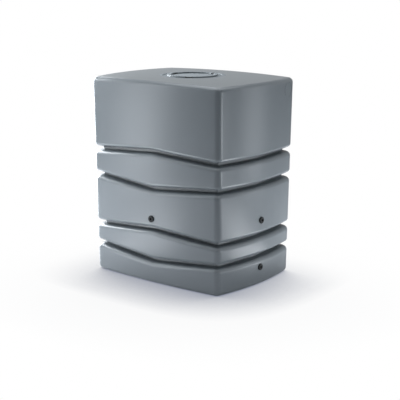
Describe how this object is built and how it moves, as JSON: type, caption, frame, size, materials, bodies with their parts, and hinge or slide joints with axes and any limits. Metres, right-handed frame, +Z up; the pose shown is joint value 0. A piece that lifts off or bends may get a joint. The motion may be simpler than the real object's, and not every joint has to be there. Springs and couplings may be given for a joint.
{
  "type": "rain barrel",
  "caption": "Tall closed rainwater tank with bulged leaning sides, zigzag stiffening grooves, a round recessed lid in its crowned top and plugged threaded ports for a tap.",
  "frame": {"origin": "centre of the base, on the ground", "axes": "+Z up, X along the wide sides, -Y out of the wide side with the tap port, +X out of the narrow side with two ports"},
  "size_m": [0.8754, 0.6534, 1.0035],
  "materials": {
    "tank": "satin",
    "lid": "satin",
    "plug": "satin",
    "rubber": "matte",
    "brass": "machined"
  },
  "bodies": {
    "tank": {"tank_body": "tank", "port_insert_front": "brass", "port_insert_side_upper": "brass", "port_insert_side_lower": "brass"},
    "lid_seal": {"lid_seal": "rubber"},
    "lid": {"lid": "lid"},
    "plug_seal_front": {"plug_seal_front": "rubber"},
    "plug_front": {"plug_front": "plug"},
    "plug_seal_side_upper": {"plug_seal_side_upper": "rubber"},
    "plug_side_upper": {"plug_side_upper": "plug"},
    "plug_seal_side_lower": {"plug_seal_side_lower": "rubber"},
    "plug_side_lower": {"plug_side_lower": "plug"}
  },
  "joints": [
    {"name": "lid_lift", "type": "slide", "parent": "tank", "child": "lid_seal", "axis": [0, 0, 1], "range_m": [0, 0.12]},
    {"name": "lid_turn", "type": "hinge", "parent": "lid_seal", "child": "lid", "pos_m": [0, 0, 0.9955], "axis": [0, 0, -1], "range_deg": [0, 35]},
    {"name": "plug_out_front", "type": "slide", "parent": "tank", "child": "plug_seal_front", "axis": [0, -1, 0], "range_m": [0, 0.0181]},
    {"name": "plug_turn_front", "type": "hinge", "parent": "plug_seal_front", "child": "plug_front", "pos_m": [0, -0.31607, 0.325], "axis": [0, -1, 0], "range_deg": [0, 3572.2]},
    {"name": "plug_out_side_upper", "type": "slide", "parent": "tank", "child": "plug_seal_side_upper", "axis": [1, 0, 0], "range_m": [0, 0.0181]},
    {"name": "plug_turn_side_upper", "type": "hinge", "parent": "plug_seal_side_upper", "child": "plug_side_upper", "pos_m": [0.42707, 0, 0.325], "axis": [1, 0, 0], "range_deg": [0, 3572.2]},
    {"name": "plug_out_side_lower", "type": "slide", "parent": "tank", "child": "plug_seal_side_lower", "axis": [1, 0, 0], "range_m": [0, 0.0181]},
    {"name": "plug_turn_side_lower", "type": "hinge", "parent": "plug_seal_side_lower", "child": "plug_side_lower", "pos_m": [0.42355, 0, 0.09], "axis": [1, 0, 0], "range_deg": [0, 3572.2]}
  ],
  "couplings": [
    {"joint": "plug_out_front", "follows": "plug_turn_front", "m_per_rad": 0.00028871},
    {"joint": "plug_out_side_upper", "follows": "plug_turn_side_upper", "m_per_rad": 0.00028871},
    {"joint": "plug_out_side_lower", "follows": "plug_turn_side_lower", "m_per_rad": 0.00028871}
  ]
}
